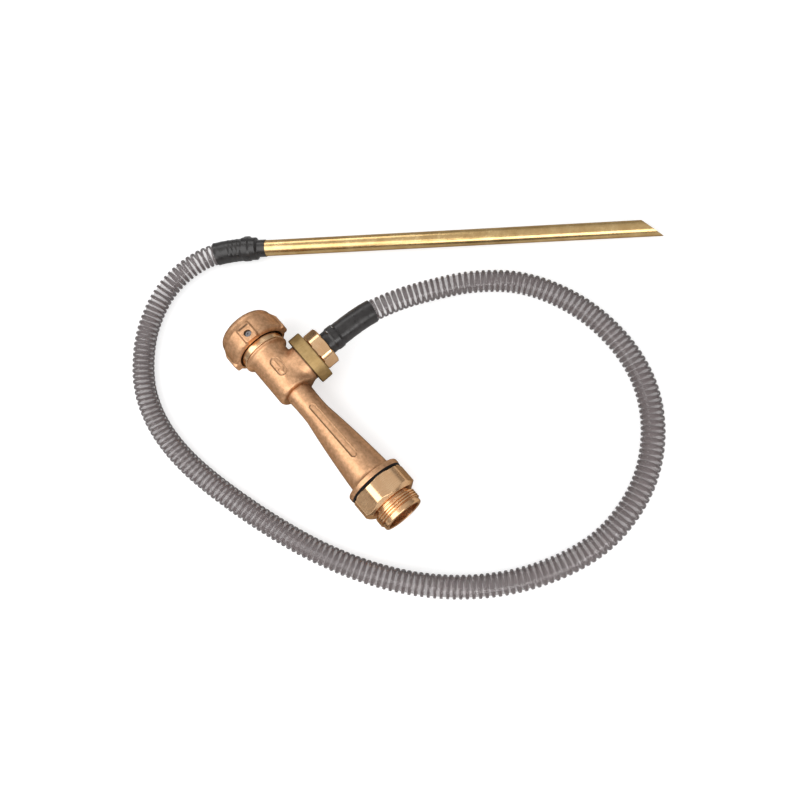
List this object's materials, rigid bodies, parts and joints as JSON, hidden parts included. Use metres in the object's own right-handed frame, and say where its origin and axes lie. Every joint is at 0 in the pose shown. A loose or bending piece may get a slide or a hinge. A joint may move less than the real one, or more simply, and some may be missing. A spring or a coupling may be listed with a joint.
{
  "type": "in-line venturi eductor",
  "caption": "Bronze in-line Venturi eductor with a swivel hose inlet, a male hose outlet, a side suction port with a union, a clear suction hose and a brass pick-up tube.",
  "frame": {"origin": "centre of the inlet's mouth, on the flow axis", "axes": "+Z square to the table that the object lies on; +X along the flow, which dips 1.12 degrees below it; +Y along the suction port's axis, away from the body"},
  "size_m": [0.5853, 0.59, 0.0731],
  "materials": {
    "cast_bronze": "sand-cast bronze, satin, with a fine cast grain",
    "turned_bronze": "machined bronze, bright",
    "nut_brass": "machined brass, satin",
    "adapter_brass": "polished orange bronze",
    "outlet_bronze": "machined and polished bronze",
    "tube_brass": "drawn brass, brushed and a little mottled",
    "steel": "hardened steel",
    "stainless": "stainless steel strip",
    "black_rubber": "smooth black rubber",
    "white_plastic": "turned white plastic",
    "clear_hose": "clear soft plastic with a rigid helix in its wall",
    "charcoal_sleeve": "shrunk polyolefin, satin charcoal"
  },
  "bodies": {
    "eductor": {"inlet_tailpiece": "turned_bronze", "inlet_ring": "black_rubber", "jet_nozzle": "turned_bronze", "nozzle_ring": "black_rubber", "eductor_body": "cast_bronze", "outlet_gasket": "black_rubber", "outlet_adapter": "outlet_bronze", "union_gasket": "black_rubber", "hose_tail": "adapter_brass", "ball_cage": "white_plastic", "ball_seat": "black_rubber", "suction_hose": "clear_hose", "near_clamp": "stainless", "far_clamp": "stainless", "near_sleeve": "charcoal_sleeve", "far_sleeve": "charcoal_sleeve", "pickup_tube": "tube_brass"},
    "swivel": {"swivel_coupling": "cast_bronze", "swivel_gasket": "black_rubber", "race_plug": "steel"},
    "race": {"race_balls": "steel"},
    "nut": {"union_nut": "nut_brass"},
    "ball": {"check_ball": "steel"}
  },
  "joints": [
    {"name": "inlet_swivel", "type": "hinge", "parent": "eductor", "child": "swivel", "pos_m": [0, 0, 0], "axis": [0.9998, 0, -0.0195], "continuous": true},
    {"name": "race_orbit", "type": "hinge", "parent": "eductor", "child": "race", "pos_m": [0, 0, 0], "axis": [0.9998, 0, -0.0195], "continuous": true},
    {"name": "nut_spin", "type": "hinge", "parent": "eductor", "child": "nut", "pos_m": [0.08048, 0.035, -0.00157], "axis": [0, 1, 0], "continuous": true},
    {"name": "ball_travel", "type": "slide", "parent": "eductor", "child": "ball", "axis": [0, -1, 0], "range_m": [0, 0.006]}
  ],
  "couplings": [
    {"joint": "race_orbit", "follows": "inlet_swivel", "ratio": 0.5}
  ]
}
